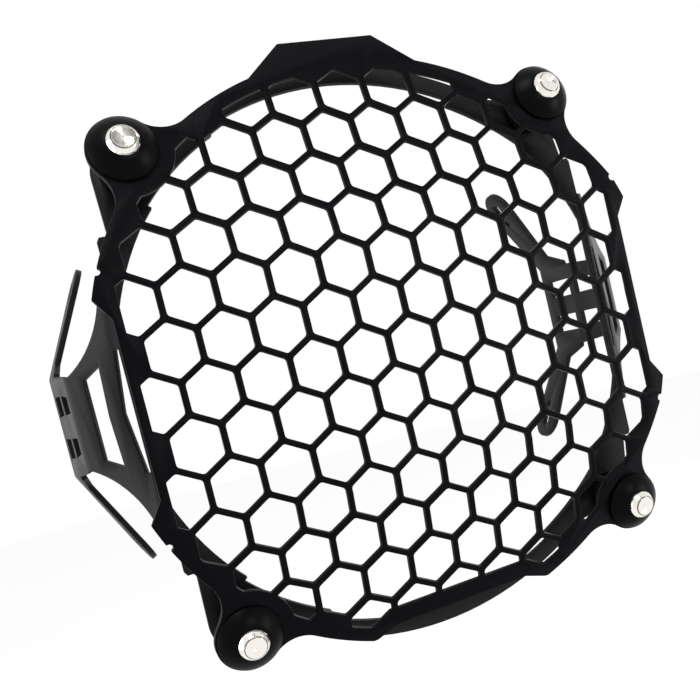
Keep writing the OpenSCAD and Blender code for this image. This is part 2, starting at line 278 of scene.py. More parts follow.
def mesh_from(name: str, build: Callable[[bmesh.types.BMesh], None]) -> bpy.types.Mesh:
    """Makes a mesh.

    Args:
        name: Name of the mesh.
        build: Draws the shape into an empty bmesh.

    Returns:
        The mesh, with its doubles merged and its faces pointing outwards.
    """
    shape = bmesh.new()
    build(shape)
    bmesh.ops.remove_doubles(shape, verts=shape.verts, dist=SAME_SPOT)
    bmesh.ops.recalc_face_normals(shape, faces=shape.faces)
    mesh = bpy.data.meshes.new(name)
    shape.to_mesh(mesh)
    shape.free()
    return mesh


def soften(piece: bpy.types.Object) -> None:
    """Rounds the sharp edges of a piece and shades it smoothly.

    Args:
        piece: The piece. No modifier is left on it.
    """
    bevel = piece.modifiers.new("Broken edges", "BEVEL")
    bevel.width = EDGE_W * MM
    bevel.segments = EDGE_STEPS
    bevel.limit_method = "ANGLE"
    bevel.angle_limit = math.radians(EDGE_ANGLE)
    bevel.use_clamp_overlap = False
    bake_modifiers(piece)
    smooth(piece)


def smooth(piece: bpy.types.Object, angle: float = SMOOTH_ANGLE) -> None:
    """Shades a piece smoothly, apart from edges sharper than an angle in degrees."""
    piece.data.polygons.foreach_set("use_smooth", [True] * len(piece.data.polygons))
    piece.data.set_sharp_from_angle(angle=math.radians(angle))


def lathe(profile: list[tuple[float, float]], turns: int = 96) -> Callable[[bmesh.types.BMesh], None]:
    """A turned shape.

    Args:
        profile: Closed run of (radius, height) points in millimetres. A radius of 0 is on the axis.
        turns: Faces round the axis.

    Returns:
        A function that draws it round +Z.
    """

    def build(shape: bmesh.types.BMesh) -> None:
        """Draws a ring for each point, and the faces between the rings.

        Args:
            shape: The bmesh to draw into.
        """
        rings = []
        for radius, height in profile:
            count = 1 if radius == 0 else turns
            rings.append([
                shape.verts.new((
                    radius * MM * math.cos(2 * math.pi * k / turns),
                    radius * MM * math.sin(2 * math.pi * k / turns),
                    height * MM,
                ))
                for k in range(count)
            ])
        for low, high in zip(rings, rings[1:] + rings[:1]):
            if len(low) == 1 and len(high) == 1:
                continue
            for k in range(turns):
                after = (k + 1) % turns
                spots = ((low, k), (low, after), (high, after), (high, k))
                corners = [ring[n % len(ring)] for ring, n in spots]
                shape.faces.new(list(dict.fromkeys(corners)))

    return build


def arc(rise: float, radius: float, start: float, end: float, steps: int) -> list[tuple[float, float]]:
    """Points along an arc about a point on the axis, with its angles in degrees."""
    angles = [math.radians(start + (end - start) * k / steps) for k in range(steps + 1)]
    return [(radius * math.cos(a), rise + radius * math.sin(a)) for a in angles]


@dataclass(frozen=True)
class Speckle:
    """A cloudy pattern that follows a piece's own coordinates."""

    scale: float
    detail: float

    def node(self, tree: Tree) -> bpy.types.Node:
        """Adds the pattern's node."""
        place = tree.node("ShaderNodeTexCoord").outputs["Object"]
        return tree.node("ShaderNodeTexNoise", Vector=place, Scale=self.scale, Detail=self.detail)


class Surface:
    """A material that is being made, with the steps that the finishes share."""

    def __init__(self, name: str, roughness: float) -> None:
        """Starts the material.

        Args:
            name: Its name.
            roughness: Its mean roughness.
        """
        self.material = bpy.data.materials.new(name)
        self.material.use_nodes = True
        self.tree = Tree(self.material.node_tree)
        self.shader = self.material.node_tree.nodes["Principled BSDF"]
        self.roughness = roughness
        self.set("Roughness", roughness)

    def set(self, socket: str, value: object) -> None:
        """Sets or links one socket of the shader, by name."""
        self.tree.feed(self.shader.inputs[socket], value)

    def plain(self, color: tuple[float, float, float]) -> None:
        """Gives the surface one colour all over."""
        self.set("Base Color", (*color, 1))

    def blend(self, share: object, first: tuple[float, ...], second: tuple[float, ...]) -> None:
        """Blends the surface from one colour to another.

        Args:
            share: An output or a Field that is 0 for the first colour and 1 for the second.
            first: The first colour.
            second: The second colour.
        """
        # Its colours are inputs 6 and 7, and the blend is output 2
        mix = self.tree.node("ShaderNodeMix", {"data_type": "RGBA"})
        self.tree.feed(mix.inputs["Factor"], share)
        self.tree.feed(mix.inputs[6], (*first, 1))
        self.tree.feed(mix.inputs[7], (*second, 1))
        self.set("Base Color", mix.outputs[2])

    def vary_gloss(self, pattern: bpy.types.Node, spread: float) -> None:
        """Lets the roughness wander about its mean, by a spread in all."""
        wander = self.tree.field(pattern.outputs["Fac"]) * spread
        self.set("Roughness", wander + (self.roughness - spread / 2))

    def raise_grain(self, height: object, strength: float, depth: float) -> None:
        """Raises fine bumps, whose depth is in metres."""
        bump = self.tree.node("ShaderNodeBump", Strength=strength, Distance=depth, Height=height)
        self.set("Normal", bump.outputs[0])

    def show(self, shader: bpy.types.NodeSocket) -> None:
        """Sends a shader to the material's output."""
        self.tree.feed(self.material.node_tree.nodes["Material Output"].inputs["Surface"], shader)


@dataclass(frozen=True)
class Coat:
    """Powder coat on steel: a dark satin skin with a fine orange peel, whose depth is in metres."""

    name: str
    color: tuple[float, float, float]
    roughness: float
    specular: float
    mottle: float = 0.15
    spread: float = 0.12
    bump: float = 0.22
    peel: float = 0.0004
    cloud: Speckle = Speckle(38.0, 3.0)
    grain: Speckle = Speckle(1500.0, 2.0)

    def material(self) -> bpy.types.Material:
        """Makes the material.

        Returns:
            A material whose colour, gloss and bump follow Object coordinates.
        """
        surface = Surface(self.name, self.roughness)
        light = tuple(c * (1 + self.mottle) for c in self.color)
        dark = tuple(c * (1 - self.mottle) for c in self.color)
        surface.blend(self.cloud.node(surface.tree).outputs["Fac"], dark, light)
        surface.set("Specular IOR Level", self.specular)
        grain = self.grain.node(surface.tree)
        surface.vary_gloss(grain, self.spread)
        surface.raise_grain(grain.outputs["Fac"], self.bump, self.peel)
        return surface.material


@dataclass(frozen=True)
class Moulding:
    """Smooth black moulding with a soft gloss and faint flow marks."""

    name: str
    color: tuple[float, float, float]
    roughness: float
    specular: float
    spread: float = 0.14
    bump: float = 0.12
    depth: float = 0.0002
    haze: Speckle = Speckle(220.0, 4.0)

    def material(self) -> bpy.types.Material:
        """Makes the material.

        Returns:
            A material whose gloss and bump follow Object coordinates.
        """
        surface = Surface(self.name, self.roughness)
        surface.plain(self.color)
        surface.set("Specular IOR Level", self.specular)
        haze = self.haze.node(surface.tree)
        surface.vary_gloss(haze, self.spread)
        surface.raise_grain(haze.outputs["Fac"], self.bump, self.depth)
        return surface.material


@dataclass(frozen=True)
class Plating:
    """Bright plated steel. The attribute turned_r places its fine rings and a painted shade line round the
    foot of the turned disc.
    """

    name: str
    color: tuple[float, float, float]
    roughness: float
    rings: float = 0.0
    # Radius, width and dimming of the painted shade line round the foot of the disc
    joint_r: float = 0.0
    joint_w: float = 0.00022
    joint_shade: float = 0.06
    spread: float = 0.1
    bump: float = 0.25
    depth: float = 0.00005
    smear: Speckle = Speckle(700.0, 3.0)

    def material(self) -> bpy.types.Material:
        """Makes the material.

        Returns:
            A material whose gloss follows Object coordinates, and its rings the attribute.
        """
        surface = Surface(self.name, self.roughness)
        surface.plain(self.color)
        surface.set("Metallic", 1.0)
        tree, smear = surface.tree, self.smear.node(surface.tree)
        surface.vary_gloss(smear, self.spread)
        if self.rings:
            turned = tree.node("ShaderNodeAttribute", {"attribute_name": "turned_r"})
            radius = tree.field(turned.outputs["Fac"])
            groove = (radius * (2 * math.pi / self.rings)).math("SINE")
            surface.raise_grain(groove + tree.field(smear.outputs["Fac"]), self.bump, self.depth)
            # Painted shade: a dark line round the foot of the disc, where the step between shoulder and disc
            # lies in shade
            off = (radius - self.joint_r).math("ABSOLUTE") / self.joint_w
            painted_shade_color = tuple(c * self.joint_shade for c in self.color)
            surface.blend(off.math("MINIMUM", 1.0).math("POWER", 2.0), painted_shade_color, self.color)
        return surface.material


@dataclass(frozen=True)
class Finishes:
    """The finishes of the guard."""

    grille: Coat = Coat("Black satin coat", (0.0022, 0.0022, 0.0038), 0.4, 0.05)
    frame: Coat = Coat("Dark grey satin coat", (0.0075, 0.0078, 0.009), 0.46, 0.12)
    collar: Moulding = Moulding("Black collar moulding", (0.0012, 0.0012, 0.0015), 0.34, 0.05)
    spacer: Moulding = Moulding("Black spacer moulding", (0.003, 0.003, 0.0034), 0.42, 0.08)
    # The screws' plating carries a painted shade line round the foot of each head's disc
    screw: Plating = Plating("Bright turned plating", (0.84, 0.81, 0.75), 0.1, rings=0.00035, joint_r=0.0038)
    fixing: Plating = Plating("Zinc plating", (0.62, 0.62, 0.63), 0.3)


@dataclass(frozen=True)
class Lugs:
    """Where the four screws stand, in millimetres."""

    away: float = 114.3
    bearing: float = 46.1
    fold_z: float = 44.0
    fold_angle: float = 12.0
    roll: float = 1.8
    stand_off: float = 15.0
    sheet: float = 2.2

    @property
    def x(self) -> float:
        """Distance of each screw from the middle, across."""
        return self.away * math.cos(math.radians(self.bearing))

    @property
    def developed_z(self) -> float:
        """Height of each screw above or below the middle, measured along the sheet."""
        return self.away * math.sin(math.radians(self.bearing))

    def place(self, side: Side, level: Level) -> Matrix:
        """The screw's own frame.

        Args:
            side: Side of the screw.
            level: Upper or lower.

        Returns:
            The frame, whose origin is on the front face and whose +Z points out of it.
        """
        angle = math.radians(self.fold_angle)
        start = self.fold_z - self.roll / 2
        radius = self.roll / angle
        beyond = self.developed_z - start - self.roll
        y = radius * (1 - math.cos(angle)) + beyond * math.sin(angle)
        z = start + radius * math.sin(angle) + beyond * math.cos(angle)
        spot = Vector((side.value * self.x, y, level.value * z)) * MM
        turn = Matrix.Rotation(math.radians(90) - level.value * angle, 4, "X")
        return Matrix.Translation(spot) @ turn

    def everywhere(self) -> Iterable[tuple[Side, Level]]:
        """The four lugs."""
        return ((side, level) for level in Level for side in Side)


@dataclass(frozen=True)
class PolarOutline:
    """A flat outline that every ray from the middle crosses once."""

    reach: Callable[[float], float]
    corners: tuple[float, ...]
    step: float = 0.75

    def points(self) -> list[Vector]:
        """Steps round the outline.

        Returns:
            Its points in millimetres, with its corners exact.
        """
        angles = {round(k * self.step, 6) for k in range(round(360 / self.step))}
        angles |= {round(c % 360, 6) for c in self.corners}
        turns = [math.radians(a) for a in sorted(angles)]
        return [self.reach(a) * Vector((math.cos(a), math.sin(a))) for a in turns]


@dataclass(frozen=True)
class Honeycomb:
    """The grid of six-sided cells, in millimetres."""

    pitch: float = 18.0
    bar: float = 2.1
    corner: float = 1.45
    corner_steps: int = 4


def chin_reach(line: float, half: float, slant: float) -> Callable[[float], float]:
    """The reach of a chin line, whose ends fall away.

    Args:
        line: How far the line lies below the middle.
        half: Half its level length.
        slant: Angle at which its ends fall, in degrees.

    Returns:
        The reach along a ray at a given angle.
    """
    fall = math.tan(math.radians(slant))

    def reach(angle: float) -> float:
        """How far the ray goes before it meets the line.

        Args:
            angle: The ray's angle.

        Returns:
            The distance, which is infinite where the ray misses the line.
        """
        across, down = abs(math.cos(angle)), -math.sin(angle)
        if down <= 0:
            return math.inf
        straight = line / down
        if straight * across <= half:
            return straight
        return (line - half * fall) / (down - across * fall) if down > across * fall else math.inf

    return reach


@dataclass(frozen=True)
class GrilleShape:
    """The flat outline and window of the grille, in millimetres."""

    rim_r: float = 107.0
    rim_w: float = 4.8
    side_x: float = 96.3
    side_w: float = 3.0
    side_z: float = 28.8
    side_slope: float = 1.5
    chin_z: float = 97.4
    chin_w: float = 6.1
    chin_x: float = 27.0
    chin_slant: float = 19.0
    chin_window_x: float = 28.8
    chin_window_slant: float = 29.0
    crown_z: float = 114.0
    crown_x: float = 18.0
    crown_foot_x: float = 32.0
    lug_r: float = 11.7
    neck_r: float = 12.0
    pad_r: float = 16.2
    notch_d: float = 1.4
    notch_h: float = 2.6
    hole_d: float = 6.4
    lug_step: float = 0.25
    lug_steps: int = 48

    def ring(self, angle: float) -> float:
        """The outline without its crown and lugs.

        Args:
            angle: The ray's angle.

        Returns:
            The reach along the ray.
        """
        across, up = abs(math.cos(angle)), abs(math.sin(angle))
        reach = self.rim_r
        if across * self.rim_r > self.side_x:
            side = self.side_x / across
            if side * up > self.side_z:
                lean = across - up / self.side_slope
                side = (self.side_x - self.side_z / self.side_slope) / lean if lean > 0 else math.inf
            reach = min(reach, side)
        return min(reach, chin_reach(self.chin_z, self.chin_x, self.chin_slant)(angle))

    def crown(self, angle: float) -> float:
        """The flat on top, with its slanting ends.

        Args:
            angle: The ray's angle.

        Returns:
            The reach along the ray, which is 0 beside the crown.
        """
        across, up = abs(math.cos(angle)), math.sin(angle)
        foot_z = math.sqrt(self.rim_r**2 - self.crown_foot_x**2)
        if up <= 0 or across / up > self.crown_foot_x / foot_z:
            return 0.0
        if self.crown_z / up * across <= self.crown_x:
            return self.crown_z / up
        slope = (self.crown_z - foot_z) / (self.crown_foot_x - self.crown_x)
        return (self.crown_z + slope * self.crown_x) / (up + slope * across)

    def lug(self, angle: float, lugs: Lugs) -> float:
        """A lug's disc, with the fillets in its neck.

        Args:
            angle: The ray's angle.
            lugs: Where the lugs stand.

        Returns:
            The reach along the ray, which is 0 beside the lug.
        """
        away, to_lug = math.hypot(lugs.x, lugs.developed_z), self.lug_r + self.neck_r
        to_disc = self.rim_r + self.neck_r
        bearing = math.atan2(lugs.developed_z, lugs.x)
        folded = math.atan2(abs(math.sin(angle)), abs(math.cos(angle)))
        off = abs(folded - bearing)
        spread = math.acos((away**2 + to_disc**2 - to_lug**2) / (2 * away * to_disc))
        share = self.lug_r / to_lug
        neck = Vector((to_disc * math.cos(spread), to_disc * math.sin(spread)))
        touch = Vector((away, 0)).lerp(neck, share)
        if off <= math.atan2(touch.y, touch.x):
            along, aside = away * math.cos(off), away * math.sin(off)
            return along + math.sqrt(max(self.lug_r**2 - aside**2, 0))
        along, aside = to_disc * math.cos(spread - off), to_disc * math.sin(spread - off)
        if off < spread and abs(aside) < self.neck_r:
            return along - math.sqrt(self.neck_r**2 - aside**2)
        return 0.0

    def outline(self, lugs: Lugs) -> PolarOutline:
        """The outer edge of the blank.

        Args:
            lugs: Where the lugs stand.

        Returns:
            The edge, with extra points at the lugs.
        """
        bearing = math.degrees(math.atan2(lugs.developed_z, lugs.x))
        near = [bearing + k * self.lug_step for k in range(-self.lug_steps, self.lug_steps + 1)]
        foot_z = math.sqrt(self.rim_r**2 - self.crown_foot_x**2)
        spots = [(self.side_x, self.side_z), (self.side_x, -self.side_z), (self.crown_x, self.crown_z)]
        spots += [(self.crown_foot_x, foot_z), (self.chin_x, -self.chin_z)]
        corners = near + [-a for a in near] + [math.degrees(math.atan2(z, x)) for x, z in spots]
        corners += [180 - a for a in corners]
        return PolarOutline(lambda a: max(self.ring(a), self.crown(a), self.lug(a, lugs)), tuple(corners))

    def window(self, lugs: Lugs) -> PolarOutline:
        """The edge of the honeycomb.

        Args:
            lugs: Where the lugs stand, which it keeps clear of.

        Returns:
            The edge.
        """
        chin = chin_reach(self.chin_z - self.chin_w, self.chin_window_x, self.chin_window_slant)
        away = math.hypot(lugs.x, lugs.developed_z)
        bearing = math.atan2(lugs.developed_z, lugs.x)
        width = self.side_x - self.side_w

        def reach(angle: float) -> float:
            """How far the honeycomb goes.

            Args:
                angle: The ray's angle.

            Returns:
                The reach along the ray.
            """
            found = min(self.rim_r - self.rim_w, chin(angle))
            found = min(found, width / max(abs(math.cos(angle)), 1e-6))
            off = abs(math.atan2(abs(math.sin(angle)), abs(math.cos(angle))) - bearing)
            aside = away * math.sin(off)
            if aside < self.pad_r:
                found = min(found, away * math.cos(off) - math.sqrt(self.pad_r**2 - aside**2))
            return found

        corner = math.degrees(math.atan2(-(self.chin_z - self.chin_w), self.chin_window_x))
        return PolarOutline(reach, (corner, 180 - corner))


@dataclass
class HoneycombGrille:
    """The front plate: a sheet with a honeycomb cut in it and its top and bottom leaned back.

    Its lengths are in millimetres and its angles in degrees. Its punches are in sheets' thicknesses.
    """

    lugs: Lugs
    coat: bpy.types.Material
    shape: GrilleShape = field(default_factory=GrilleShape)
    cells: Honeycomb = field(default_factory=Honeycomb)
    fold_lines: int = 6
    window_depth: float = 9.0
    flat_angle: float = 0.5
    punch_low: float = 1.5
    punch_deep: float = 2.0
    hole_turns: int = 48
    notch_turns: int = 24

    def prism(self, name: str, outline: PolarOutline, low: float, high: float) -> bpy.types.Mesh:
        """Draws an outline between two heights above the front face.

        Args:
            name: Name of the mesh.
            outline: The outline.
            low: Lower height, in millimetres.
            high: Upper height, in millimetres.

        Returns:
            The closed mesh.
        """

        def build(shape: bmesh.types.BMesh) -> None:
            """Draws the wall between the two heights, and both ends.

            Args:
                shape: The bmesh to draw into.
            """
            points = outline.points()
            rings = [[shape.verts.new((p.x * MM, p.y * MM, w * MM)) for p in points] for w in (low, high)]
            for k in range(len(points)):
                after = (k + 1) % len(points)
                shape.faces.new((rings[0][k], rings[0][after], rings[1][after], rings[1][k]))
            for ring in rings:
                shape.faces.new(ring)

        return mesh_from(name, build)

    def cut_tree(self, window: bpy.types.Object) -> GeometryTree:
        """The tree that cuts the cells, the screw holes and the relief notches.

        Args:
            window: The prism that the cells stay inside.

        Returns:
            The tree, which runs on the blank.
        """
        lugs, shape, cells = self.lugs, self.shape, self.cells
        rim_x = math.sqrt(shape.rim_r**2 - lugs.fold_z**2)
        rows = 2 * math.ceil(shape.rim_r / cells.pitch / math.cos(HALF_CORNER)) + 1
        tree = GeometryTree("Honeycomb cut", {
            "Pitch": cells.pitch * MM,
            "Bar": cells.bar * MM,
            "Corner": cells.corner * MM,
            "Sheet": lugs.sheet * MM,
            "Rows": rows,
            "Rim radius": shape.rim_r * MM,
            "Half width": shape.side_x * MM,
            "Window": window,
            "Material": self.coat,
        })
        pitch, sheet, rows_in = tree.given("Pitch"), tree.given("Sheet"), tree.given("Rows")
        row_step = pitch * math.cos(HALF_CORNER)
        spots = tree.node(
            "GeometryNodeMeshGrid",
            Size_X=pitch * (rows_in - 1.0), Size_Y=row_step * (rows_in - 1.0),
            Vertices_X=rows_in, Vertices_Y=rows_in,
        )
        spot = tree.node("ShaderNodeSeparateXYZ", Vector=tree.node("GeometryNodeInputPosition").outputs[0])
        row = (tree.field(spot.outputs["Y"]) / row_step).math("ROUND")
        shift = tree.node("ShaderNodeCombineXYZ", X=row.math("MODULO", 2.0).math("ABSOLUTE") * pitch * 0.5)
        stagger = tree.node(
            "GeometryNodeSetPosition", Geometry=spots.outputs["Mesh"], Offset=shift.outputs[0]
        )
        cell_r = (pitch - tree.given("Bar")) / (2 * math.cos(HALF_CORNER))
        ring = tree.node("GeometryNodeCurvePrimitiveCircle", Resolution=6, Radius=cell_r)
        eased = tree.node(
            "GeometryNodeFilletCurve", {"mode": "POLY"},
            Curve=ring.outputs[0], Count=cells.corner_steps, Radius=tree.given("Corner"),
        )
        cell = self.punch(tree, eased.outputs[0], sheet)
        turn = (0.0, 0.0, HALF_CORNER)
        middle = tree.node("GeometryNodeInputPosition").outputs[0]
        across = tree.field(tree.node("ShaderNodeSeparateXYZ", Vector=middle).outputs["X"]).math("ABSOLUTE")
        length = tree.node("ShaderNodeVectorMath", {"operation": "LENGTH"}, Vector=middle)
        within = tree.field(length.outputs["Value"]).math("LESS_THAN", tree.given("Rim radius"))
        inside = across.math("LESS_THAN", tree.given("Half width")) * within
        many = tree.node(
            "GeometryNodeInstanceOnPoints",
            Points=stagger.outputs[0], Selection=inside, Instance=cell, Rotation=turn,
        )
        real = tree.node("GeometryNodeRealizeInstances", Geometry=many.outputs[0])
        frame = tree.node("GeometryNodeObjectInfo", Object=tree.given("Window"))
        kept = tree.node("GeometryNodeMeshBoolean", {"operation": "INTERSECT", "solver": "EXACT"})
        tree.feed(kept.inputs["Mesh 2"], real.outputs[0])
        tree.feed(kept.inputs["Mesh 2"], frame.outputs["Geometry"])
        holes = self.four(tree, shape.hole_d / 2, (lugs.x, lugs.developed_z), sheet, self.hole_turns)
        notch_r = shape.notch_h / 2
        notch = (rim_x - shape.notch_d + notch_r, lugs.fold_z)
        notches = self.four(tree, notch_r, notch, sheet, self.notch_turns)
        cut = tree.node("GeometryNodeMeshBoolean", {"operation": "DIFFERENCE", "solver": "EXACT"})
        tree.feed(cut.inputs["Mesh 1"], tree.group_in.outputs["Geometry"])
        for cutter in (kept.outputs[0], holes, notches):
            tree.feed(cut.inputs["Mesh 2"], cutter)
        tree.finish(cut.outputs[0])
        return tree

    def punch(self, tree: GeometryTree, curve: bpy.types.NodeSocket, sheet: Field) -> bpy.types.NodeSocket:
        """Makes a closed cutter that passes right through the sheet.

        Args:
            tree: The tree that it is for.
            curve: Its flat outline.
            sheet: The sheet's thickness.

        Returns:
            The cutter.
        """
        fill = tree.node("GeometryNodeFillCurve", {"mode": "NGONS"}, Curve=curve)
        low = tree.node("ShaderNodeCombineXYZ", Z=sheet * -self.punch_low)
        face = tree.node("GeometryNodeSetPosition", Geometry=fill.outputs[0], Offset=low.outputs[0])
        deep = tree.node("ShaderNodeCombineXYZ", Z=sheet * self.punch_deep)
        wall = tree.node("GeometryNodeExtrudeMesh", Mesh=face.outputs[0], Offset=deep.outputs[0])
        wall.inputs["Offset Scale"].default_value = 1.0
        back = tree.node("GeometryNodeFlipFaces", Mesh=face.outputs[0])
        both = tree.node("GeometryNodeJoinGeometry")
        tree.feed(both.inputs[0], wall.outputs["Mesh"])
        tree.feed(both.inputs[0], back.outputs[0])
        return tree.node("GeometryNodeMergeByDistance", Geometry=both.outputs[0], Distance=SLIVER).outputs[0]

    def four(
        self, tree: GeometryTree, radius: float, spot: tuple[float, float], sheet: Field, sides: int
    ) -> bpy.types.NodeSocket:
        """Makes round cutters at four mirrored spots.

        Args:
            tree: The tree that they are for.
            radius: Their radius, in millimetres.
            spot: The first of their spots, in millimetres.
            sheet: The sheet's thickness.
            sides: Faces round each.

        Returns:
            The four cutters.
        """
        size = {"Size_X": 2 * spot[0] * MM, "Size_Y": 2 * spot[1] * MM, "Vertices_X": 2, "Vertices_Y": 2}
        spots = tree.node("GeometryNodeMeshGrid", **size)
        ring = tree.node("GeometryNodeCurvePrimitiveCircle", Resolution=sides, Radius=radius * MM)
        punch = self.punch(tree, ring.outputs[0], sheet)
        many = tree.node("GeometryNodeInstanceOnPoints", Points=spots.outputs["Mesh"], Instance=punch)
        return tree.node("GeometryNodeRealizeInstances", Geometry=many.outputs[0]).outputs[0]

    def fold_tree(self) -> GeometryTree:
        """The tree that stands the flat sheet up and rolls its two folds.

        Returns:
            The tree, which runs on the cut sheet.
        """
        lugs = self.lugs
        tree = GeometryTree("Rolled folds", {
            "Fold": lugs.fold_z * MM,
            "Roll": lugs.roll * MM,
            "Angle": math.radians(lugs.fold_angle),
            "Material": self.coat,
        })
        roll, bend = tree.given("Roll"), tree.given("Angle")
        flat = tree.node("ShaderNodeSeparateXYZ", Vector=tree.node("GeometryNodeInputPosition").outputs[0])
        up, depth = tree.field(flat.outputs["Y"]), tree.field(flat.outputs["Z"]) * -1.0
        away, start = up.math("ABSOLUTE"), tree.given("Fold") - roll * 0.5
        radius = roll / bend
        turn = ((away - start) / roll).math("MAXIMUM", 0.0).math("MINIMUM", 1.0) * bend
        beyond = (away - start - roll).math("MAXIMUM", 0.0)
        inner = radius - depth
        back = radius - inner * turn.math("COSINE") + beyond * turn.math("SINE")
        rise = away.math("MINIMUM", start) + inner * turn.math("SINE") + beyond * turn.math("COSINE")
        place = tree.node("ShaderNodeCombineXYZ", X=flat.outputs["X"], Y=back, Z=rise * up.math("SIGN"))
        stood = tree.node("GeometryNodeSetPosition", Position=place.outputs[0])
        tree.feed(stood.inputs["Geometry"], tree.group_in.outputs["Geometry"])
        tree.finish(stood.outputs[0])
        return tree

    def build(self) -> bpy.types.Object:
        """Makes the grille.

        Returns:
            The finished piece.
        """
        lugs = self.lugs
        blank = self.prism("Grille blank", self.shape.outline(lugs), -lugs.sheet, 0.0)
        opening, depth = self.shape.window(lugs), self.window_depth
        window = new_piece("Grille window", self.prism("Grille window", opening, -depth, depth))
        piece = new_piece("Honeycomb_grille", blank)
        self.cut_tree(window).run(piece)
        bpy.data.objects.remove(window)
        self.score(piece)
        self.fold_tree().run(piece)
        soften(piece)
        LOG.info("grille: %d faces", len(piece.data.polygons))
        return piece

    def score(self, piece: bpy.types.Object) -> None:
        """Gives the flat sheet edges along its folds, for them to bend at.

        Args:
            piece: The cut sheet.
        """
        lugs = self.lugs
        shape = bmesh.new()
        shape.from_mesh(piece.data)
        flat = math.radians(self.flat_angle)
        bmesh.ops.dissolve_limit(shape, angle_limit=flat, verts=shape.verts, edges=shape.edges)
        for k in range(self.fold_lines + 1):
            line = (lugs.fold_z - lugs.roll / 2 + lugs.roll * k / self.fold_lines) * MM
            for side in Level:
                parts = shape.verts[:] + shape.edges[:] + shape.faces[:]
                bmesh.ops.bisect_plane(
                    shape, geom=parts, dist=SAME_SPOT, plane_co=(0, side.value * line, 0), plane_no=(0, 1, 0)
                )
        shape.to_mesh(piece.data)
        shape.free()


@dataclass
class RearFrame:
    """The ring behind the grille, with its wings, straps and arms.

    Points of the CAD nearer than the merge, in millimetres, become one. Faces that turn by
    less than the flat angle, in degrees, do too.
    """

    coat: bpy.types.Material
    merge: float = 0.03
    flat_angle: float = 0.6

    def build(self, source: bpy.types.Object) -> bpy.types.Object:
        """Dresses a merged copy of the CAD sheet, with its edges broken.

        Args:
            source: The CAD node.

        Returns:
            The finished piece.
        """
        shape = bmesh.new()
        shape.from_mesh(source.data)
        bmesh.ops.remove_doubles(shape, verts=shape.verts, dist=self.merge * MM)
        bmesh.ops.dissolve_degenerate(shape, edges=shape.edges, dist=SLIVER)
        flat = math.radians(self.flat_angle)
        bmesh.ops.dissolve_limit(shape, angle_limit=flat, verts=shape.verts, edges=shape.edges)
        mesh = bpy.data.meshes.new("Rear frame")
        shape.to_mesh(mesh)
        shape.free()
        piece = new_piece("Rear_frame_sheet", mesh)
        soften(piece)
        piece.data.materials.clear()
        piece.data.materials.append(self.coat)
        LOG.info("rear frame: %d faces", len(piece.data.polygons))
        return piece


@dataclass(frozen=True)
class Fastening:
    """Sizes of what stands on a lug, in millimetres. The thread's crest is in shares of its pitch."""

    collar_h: float = 4.8
    collar_r: float = 11.1
    collar_top_r: float = 5.8
    edge_h: float = 1.0
    spacer_r: float = 8.0
    head_r: float = 5.25
    head_h: float = 3.2
    disc_r: float = 3.6
    disc_h: float = 0.5
    screw_r: float = 3.0
    screw_l: float = 30.6
    washer_r: float = 6.0
    washer_t: float = 1.6
    nut_af: float = 10.0
    nut_h: float = 5.0
    hole_r: float = 3.2
    thread: float = 1.0
    thread_l: float = 10.0
    thread_d: float = 0.45
    screw_ease: float = 0.6
    shoulder_w: float = 0.4
    disc_ease: float = 0.12
    pip_r: float = 0.55
    pip_d: float = 0.45
    collar_ease: float = 0.15
    spacer_ease: float = 0.3
    washer_ease: float = 0.2
    nut_ease: float = 0.1
    nut_corner_h: float = 0.55
    nut_play: float = 0.05
    crest: tuple[float, float] = (0.4, 0.55)
    collar_steps: int = 24
    head_steps: int = 12
    fixing_turns: int = 72

    def dome(self, foot_r: float, top_r: float, height: float, steps: int) -> list[tuple[float, float]]:
        """The outer line of a turned dome.

        Args:
            foot_r: Radius at its foot.
            top_r: Radius of its flat top.
            height: Height of its flat top.
            steps: Faces up the line.

        Returns:
            The line's points, from the foot to the top.
        """
        rise = (top_r**2 + height**2 - foot_r**2 - self.edge_h**2) / 2 / (height - self.edge_h)
        radius = math.hypot(foot_r, self.edge_h - rise)
        start = math.degrees(math.atan2(self.edge_h - rise, foot_r))
        end = math.degrees(math.atan2(height - rise, top_r))
        return arc(rise, radius, start, end, steps)


@dataclass
class TurnedPiece:
    """A turned piece that stands on one lug."""

    name: str
    profile: list[tuple[float, float]]
    material: bpy.types.Material

    def build(self, place: Matrix) -> bpy.types.Object:
        """Turns the piece and stands it on its lug.

        Args:
            place: The screw's own frame there.

        Returns:
            The finished piece.
        """
        mesh = mesh_from(self.name, lathe(self.profile))
        mesh.transform(place)
        piece = new_piece(self.name, mesh)
        smooth(piece, TURNED_ANGLE)
        piece.data.materials.append(self.material)
        return piece


